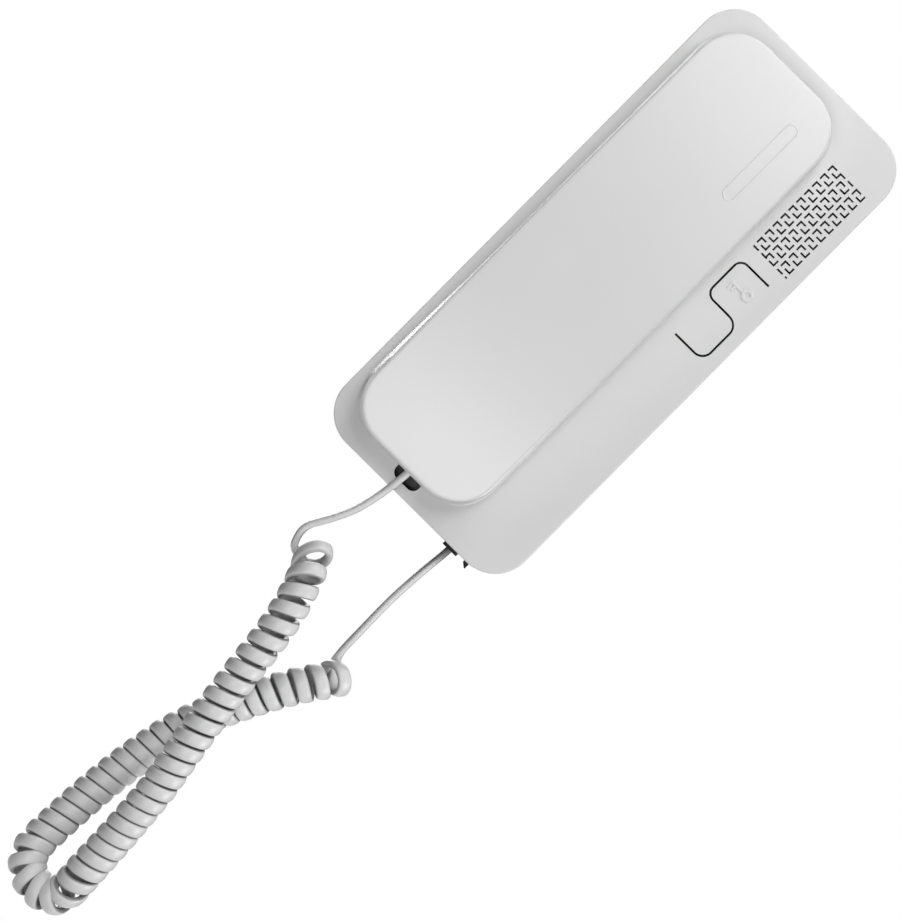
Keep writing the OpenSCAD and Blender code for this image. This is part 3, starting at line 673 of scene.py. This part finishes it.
def make_service_key():
    xs = (24.4, 24.8, 25.2, 25.6, 26.0, 26.5, 27)
    above = [(x, 24.35 - math.sqrt(3.55**2 - min(x - 25.55, 0) ** 2)) for x in xs]
    below = [(x, 4.55) for x in xs]
    free_end = arc(33.4, 17.05, 3.68, 90, 0) + arc(33.4, 8.2, 3.65, 0, -90)
    names = ("service_key_tongue", "service_key", "service_key")
    make_key(*names, above, below, free_end, (34.4, 12.6), ())


make_door_key()
make_service_key()


# ---------- Handset front ----------

HANDSET_X = -9.8
HANDSET_Z = 0.5
SPLIT = 31.0  # depth of the line between its two shells
FRONT = 40.0
HANDSET_W = 56.3
HANDSET_H = 186.0
HANDSET_R = 16.8
EDGE_R = 1.1  # rounding between its walls and its face
EDGE_STEPS = 7
CORNER_STEPS = 14
TOP_STEPS = 6
SIDE_STEPS = 43


def soft_rect(w, h, r):
    """Outline of a rounded rectangle in X and Z, counterclockwise from the right side's upper end."""
    w, h = w / 2, h / 2
    points = []
    for quarter, (sx, sz) in enumerate([(1, 1), (-1, 1), (-1, -1), (1, -1)]):
        for k in range(CORNER_STEPS + 1):
            a = math.pi / 2 * (quarter + k / CORNER_STEPS)
            c, s = math.cos(a), math.sin(a)
            px = math.copysign(abs(c) ** (2 / 2.15), c) * r
            pz = math.copysign(abs(s) ** (2 / 2.15), s) * r
            points.append((sx * (w - r) + px, sz * (h - r) + pz))
        x0, z0 = points[-1]
        x1, z1 = [(-(w - r), h), (-w, -(h - r)), (w - r, -h), (w, h - r)][quarter]
        steps = SIDE_STEPS if quarter % 2 else TOP_STEPS
        for k in range(1, steps):
            points.append((x0 + (x1 - x0) * k / steps, z0 + (z1 - z0) * k / steps))
    return np.array(points)


def ladder(first, count, middle):
    """Faces that close a ring which is symmetric about its point number middle, on a flat end."""
    flat = TOP_STEPS // 2 + 1
    faces = []
    for start in (middle, middle + count // 2):
        faces.append(tuple(first + (start + k) % count for k in range(-flat, flat + 1)))
    for k in range(flat, count // 2 - flat):
        corners = [middle - k, middle + k, middle + k + 1, middle - k - 1]
        faces.append(tuple(first + c % count for c in corners))
    return faces


def crown(x, z):
    """How far the handset's face falls back from its middle."""
    across = (x - HANDSET_X) / 27.5
    along = (z - HANDSET_Z) / 92
    end = np.where(along > 0, 2.2 * np.abs(along) ** 2.1, 3.2 * np.abs(along) ** 2.8)
    return 0.35 * across**2 + end


def handset_outline(inset, flare, slim):
    """The handset's outline, let out at its lower left and taken in at its upper left and right."""
    outline = soft_rect(HANDSET_W - 2 * inset, HANDSET_H - 2 * inset, max(HANDSET_R - inset, 1.2))
    x, z = outline.T
    left, right = smoothstep(-x / 24), smoothstep(x / 24)
    low, high = smoothstep((-z - 5) / 70), smoothstep((z + 5) / 80)
    x = x + left * (slim * 0.5 * high - flare * low) - right * slim * (0.25 + 0.3 * low)
    return np.stack([x, z - flare * 0.25 * left * low], 1)


def make_handset_front():
    wall = 0.3
    rings = [
        (handset_outline(inset, flare, slim), depth)
        for inset, flare, slim, depth in (
            (0.35, 0.2, 0, SPLIT),
            (0.05, 1.0, 0, SPLIT + 0.25),
            (0.0, 1.1, 0, SPLIT + 0.9),
            (0.05, 0.9, 0.3, SPLIT + 2.2),
            (0.2, 0.25, 0.8, FRONT - 4.5),
            (wall, 0.0, 1, FRONT - 2.8),
        )
    ]
    for k in range(EDGE_STEPS + 1):
        a = math.pi / 2 * k / EDGE_STEPS
        outline = handset_outline(wall + EDGE_R * (1 - math.cos(a)), 0, 1)
        face = FRONT - crown(outline[:, 0] + HANDSET_X, outline[:, 1] + HANDSET_Z)
        rings.append((outline, face - EDGE_R * (1 - math.sin(a))))
    for inset in (2.2, 3.4, 5.2, 7.6, 10.5, 14, 17.5, 21, 24, 26.5):
        outline = handset_outline(inset, 0, max(1 - inset / 16, 0))
        rings.append((outline, FRONT - crown(outline[:, 0] + HANDSET_X, outline[:, 1] + HANDSET_Z)))
    count = len(rings[0][0])
    verts = []
    for outline, depth in rings:
        depth = np.broadcast_to(depth, count)
        verts += [(x + HANDSET_X, -d, z + HANDSET_Z) for (x, z), d in zip(outline, depth)]
    faces = [f for i in range(len(rings) - 1) for f in bridge(i * count, (i + 1) * count, count)]
    faces += ladder((len(rings) - 1) * count, count, CORNER_STEPS + TOP_STEPS // 2)
    shell = face_outwards(mesh_object("handset_front", verts, faces, HANDSET))
    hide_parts("handset_front_shell")
    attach(shell, "handset")


make_handset_front()


def make_pill():
    """The plain raised outline that stands in for lettering."""
    middle_x, middle_z, half_length = 4.2, 63.6, 14.6
    profile = [(2.55, -0.3), (2.45, 0.05), (2.3, 0.16), (2.1, 0.16), (1.95, 0.05), (1.85, -0.3)]
    turns = 48
    verts = []
    for r, rise in profile:
        for k in range(turns):
            a = 2 * math.pi * k / turns
            x = middle_x + r * math.cos(a)
            z = middle_z + r * math.sin(a) + math.copysign(half_length, math.sin(a) or 1)
            verts.append((x, -(FRONT - float(crown(x, z)) + rise), z))
    faces = [f for i in range(len(profile) - 1) for f in bridge(i * turns, (i + 1) * turns, turns)]
    pill = face_outwards(mesh_object("handset_raised_outline", verts, faces, HANDSET))
    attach(pill, "handset")


make_pill()


# ---------- Floor and light ----------


def make_floor():
    """A pale floor that glows a little and throws no light back; the light "under" stands for that."""
    height, width, count = -700, 2400, 12
    verts, faces = [], []
    for i in range(count + 1):
        for j in range(count + 1):
            verts.append((width * (i / count - 0.5), width * (j / count - 0.5), height))
    for i in range(count):
        for j in range(count):
            a = i * (count + 1) + j
            faces.append((a, a + count + 1, a + count + 2, a + 1))
    material = plastic("floor_pale", (0.85, 0.85, 0.85), 0.7, 0.05)
    shader = material.node_tree.nodes["Principled BSDF"]
    shader.inputs["Emission Color"].default_value = (1, 1, 1, 1)
    shader.inputs["Emission Strength"].default_value = 0.6
    material.cycles.emission_sampling = "NONE"
    floor = mesh_object("floor", verts, faces, material)
    floor.visible_diffuse = False


def make_world():
    """White where the camera sees it, and almost dark as a light."""
    world = bpy.data.worlds.new("studio")
    world.use_nodes = True
    nodes, links = world.node_tree.nodes, world.node_tree.links
    nodes.clear()
    seen = nodes.new("ShaderNodeBackground")
    seen.inputs["Color"].default_value = (1, 1, 1, 1)
    seen.inputs["Strength"].default_value = 1
    ambient = nodes.new("ShaderNodeBackground")
    ambient.inputs["Color"].default_value = (1, 1, 1, 1)
    ambient.inputs["Strength"].default_value = 0.01
    path = nodes.new("ShaderNodeLightPath")
    mix = nodes.new("ShaderNodeMixShader")
    out = nodes.new("ShaderNodeOutputWorld")
    links.new(path.outputs["Is Camera Ray"], mix.inputs["Fac"])
    links.new(ambient.outputs["Background"], mix.inputs[1])
    links.new(seen.outputs["Background"], mix.inputs[2])
    links.new(mix.outputs["Shader"], out.inputs["Surface"])
    bpy.context.scene.world = world


def soft_box(name, place, target, size, watts):
    data = bpy.data.lights.new(name, "AREA")
    data.shape = "RECTANGLE"
    data.size, data.size_y = size
    data.energy = watts
    light = bpy.data.objects.new(name, data)
    bpy.context.scene.collection.objects.link(light)
    light.location = place
    light.rotation_euler = (Vector(target) - Vector(place)).to_track_quat("-Z", "Y").to_euler()
    light.visible_camera = False


make_floor()
make_world()
MIDDLE = (0, -0.02, -0.08)
# Name, place, what it points at, width and height, watts
LIGHTS = (
    ("below", (0, -1.4, -0.31), MIDDLE, (0.62, 0.28), 3.75),
    ("above", (0, -1.38, 0.47), MIDDLE, (0.62, 0.25), 2.7),
    ("high", (0, -1.3, 0.78), MIDDLE, (0.7, 0.3), 1.6),
    ("top_near", (0.05, -0.3, 0.5), (0, -0.02, 0.03), (0.6, 0.15), 2.0),
    ("left_front", (-0.5, -1.25, 0), MIDDLE, (0.2, 0.6), 0.6),
    ("left", (-0.9, -0.45, -0.05), MIDDLE, (0.3, 0.9), 1.7),
    ("right", (0.9, -0.7, -0.1), MIDDLE, (0.3, 0.6), 0.45),
    ("back", (-0.5, 1.2, 0.4), MIDDLE, (1.0, 1.0), 15),
    ("under", (0, 0, -0.49), (0, 0, 0), (1.2, 1.2), 1.25),
    ("right_near", (0.43, -0.12, -0.2), (0, -0.02, -0.2), (0.12, 0.25), 1.05),
)
for light in LIGHTS:
    soft_box(*light)

scene = bpy.context.scene
scene.view_settings.view_transform = "Standard"
scene.view_settings.look = "None"
scene.view_settings.exposure = 0
scene.view_settings.gamma = 1
